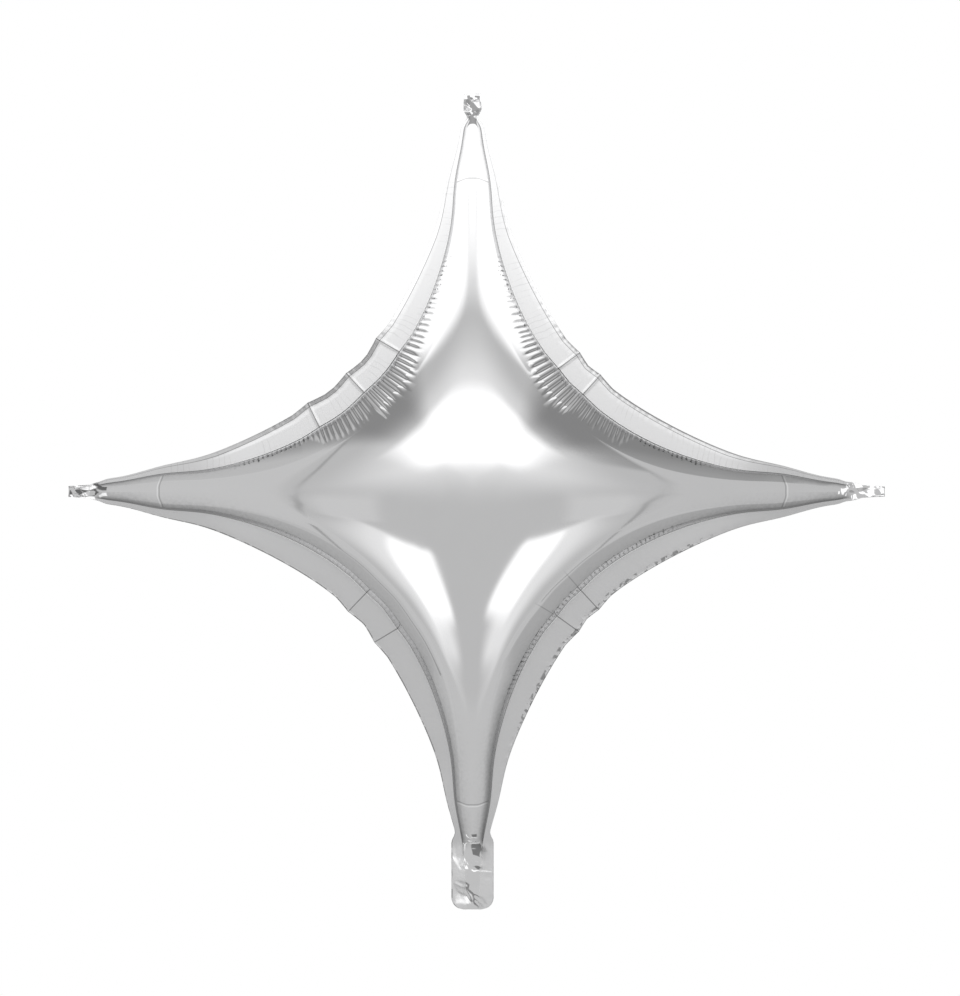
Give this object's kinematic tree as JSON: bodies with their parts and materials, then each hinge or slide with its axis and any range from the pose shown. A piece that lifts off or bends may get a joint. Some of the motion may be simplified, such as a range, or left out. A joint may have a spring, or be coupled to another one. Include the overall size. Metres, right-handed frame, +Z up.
{
  "type": "star foil balloon",
  "caption": "Gas-filled foil balloon in the form of a four-pointed star with a swollen body, puckered weld margins, tip tabs and a filling tail to tie it by.",
  "frame": {"origin": "the tie neck, on the plane of the weld, where the filling tail leaves the lower point", "axes": "+Z up along the balloon through the upper point, -Y out of the front, +X to the right seen from the front"},
  "size_m": [0.6, 0.1138, 0.5994],
  "materials": {
    "silver_foil": "mirror-bright metallised film, smooth on the swollen body and finely creased along the welds, the tabs and the tail"
  },
  "bodies": {
    "root": {"star_balloon": "silver_foil"}
  },
  "joints": []
}
